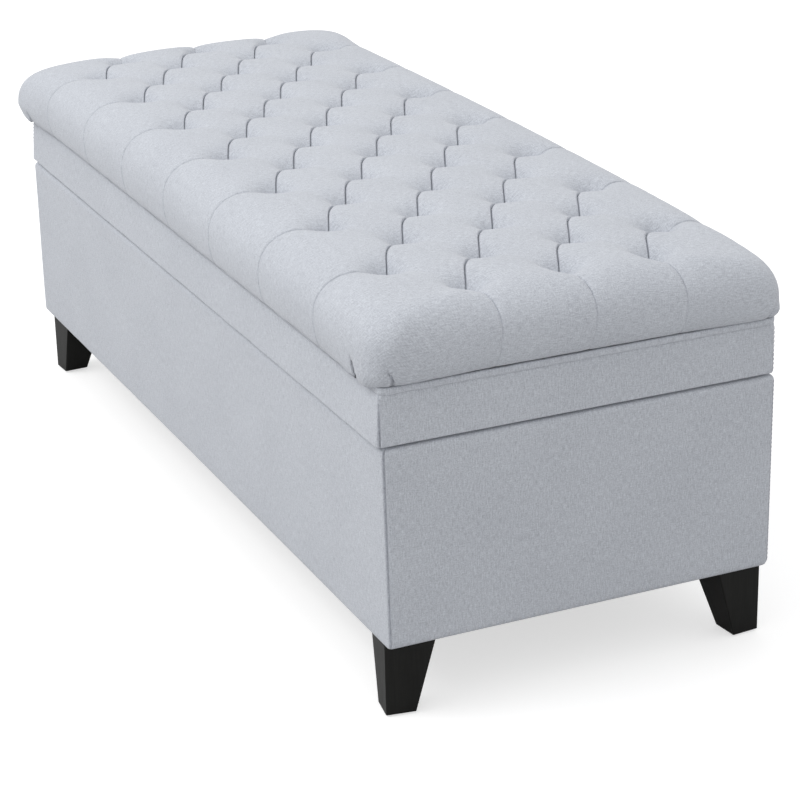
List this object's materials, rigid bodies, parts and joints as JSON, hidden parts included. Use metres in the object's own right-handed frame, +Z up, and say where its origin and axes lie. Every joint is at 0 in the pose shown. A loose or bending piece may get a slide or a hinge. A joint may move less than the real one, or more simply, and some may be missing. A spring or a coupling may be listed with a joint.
{
  "type": "storage bench",
  "caption": "Upholstered storage bench with a deep-tufted hinged lid on a fabric-covered box with tapered dark legs.",
  "frame": {"origin": "on the floor, under the middle of the bench's overall box", "axes": "+X along the bench, -Y is the front where one sits, +Y is the hinged back, +Z up"},
  "size_m": [1.324, 0.526, 0.497],
  "materials": {
    "linen_fabric": "matte",
    "black_lining": "matte",
    "black_lacquer": "satin",
    "glide_plastic": "matte",
    "bumper_rubber": "matte",
    "upholstery_foam": "matte",
    "wadding": "matte",
    "twine": "matte",
    "toggle_plastic": "satin",
    "pine": "matte",
    "plywood": "matte",
    "zinc_steel": "satin",
    "nickel_steel": "satin"
  },
  "bodies": {
    "base": {"base_back_panel": "plywood", "base_corner_seams": "linen_fabric", "base_cover_back": "linen_fabric", "base_cover_front": "linen_fabric", "base_cover_left": "linen_fabric", "base_cover_right": "linen_fabric", "base_front_panel": "plywood", "base_left_panel": "plywood", "base_padding": "upholstery_foam", "base_right_panel": "plywood", "corner_blocks": "pine", "dust_cover": "black_lining", "floor_battens": "pine", "floor_panel": "plywood", "hinge_leaves_base": "nickel_steel", "hinge_pins": "nickel_steel", "hinge_screws_base": "zinc_steel", "leg_back_left": "black_lacquer", "leg_back_right": "black_lacquer", "leg_bolts": "zinc_steel", "leg_front_left": "black_lacquer", "leg_front_right": "black_lacquer", "leg_glides": "glide_plastic", "leg_inserts": "zinc_steel", "lid_bumpers": "bumper_rubber", "stay_rail_left": "nickel_steel", "stay_rail_right": "nickel_steel", "stay_rail_screws": "zinc_steel", "storage_floor_lining": "black_lining", "storage_wall_lining": "black_lining"},
    "lid": {"lid_back_rail": "pine", "lid_battens": "pine", "lid_batting": "wadding", "lid_board": "plywood", "lid_bottom_panel": "plywood", "lid_foam": "upholstery_foam", "lid_front_rail": "pine", "lid_left_rail": "pine", "lid_lining": "black_lining", "lid_right_rail": "pine", "band_corner_seams": "linen_fabric", "band_cover_back": "linen_fabric", "band_cover_front": "linen_fabric", "band_cover_left": "linen_fabric", "band_cover_right": "linen_fabric", "band_padding": "upholstery_foam", "hinge_leaves_lid": "nickel_steel", "hinge_screws_lid": "zinc_steel", "stay_bracket_left": "nickel_steel", "stay_bracket_right": "nickel_steel", "stay_bracket_screws": "zinc_steel", "stay_rivets": "nickel_steel", "tuft_ties": "twine", "tuft_toggles": "toggle_plastic", "tufted_cover": "linen_fabric", "welt": "linen_fabric"},
    "stay_arm_left": {"stay_arm_left": "nickel_steel", "stay_stud_left": "nickel_steel"},
    "stay_arm_right": {"stay_arm_right": "nickel_steel", "stay_stud_right": "nickel_steel"}
  },
  "joints": [
    {"name": "lid_hinge", "type": "hinge", "parent": "base", "child": "lid", "pos_m": [0, 0.2555, 0.336], "axis": [-1, 0, 0], "range_deg": [0, 75]},
    {"name": "stay_pivot_left", "type": "hinge", "parent": "lid", "child": "stay_arm_left", "pos_m": [-0.6175, 0.10878, 0.30481], "axis": [-1, 0, 0], "range_deg": [-150, 0]},
    {"name": "stay_pivot_right", "type": "hinge", "parent": "lid", "child": "stay_arm_right", "pos_m": [0.6175, 0.10878, 0.30481], "axis": [-1, 0, 0], "range_deg": [-150, 0]}
  ],
  "couplings": [
    {"joint": "stay_pivot_left", "follows": "lid_hinge", "ratio": -2},
    {"joint": "stay_pivot_right", "follows": "lid_hinge", "ratio": -2}
  ]
}
